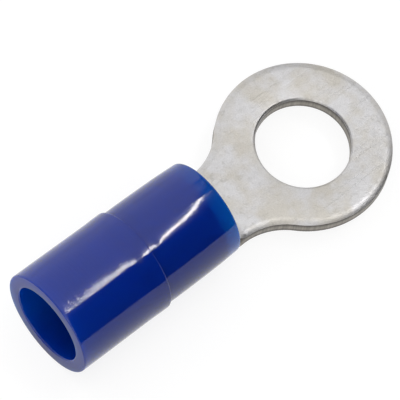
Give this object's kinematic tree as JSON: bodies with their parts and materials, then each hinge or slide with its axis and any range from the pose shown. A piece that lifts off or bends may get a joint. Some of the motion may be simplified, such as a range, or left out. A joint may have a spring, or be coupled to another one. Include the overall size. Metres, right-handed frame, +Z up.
{
  "type": "insulated ring terminal",
  "caption": "Nylon-insulated crimp ring terminal: flat tin-plated ring tongue and rolled wire barrel under a stepped blue sleeve with a funnel wire entry.",
  "frame": {"origin": "centre of the stud hole on the underside of the tongue", "axes": "+X along the barrel from the wire entry to the ring's tip, +Z up from the tongue's underside"},
  "size_m": [0.019, 0.008, 0.005],
  "materials": {
    "tinned_copper": "satin tin plate on copper strip",
    "blue_nylon": "glossy translucent blue nylon"
  },
  "bodies": {
    "root": {"terminal": "tinned_copper", "sleeve": "blue_nylon"}
  },
  "joints": []
}
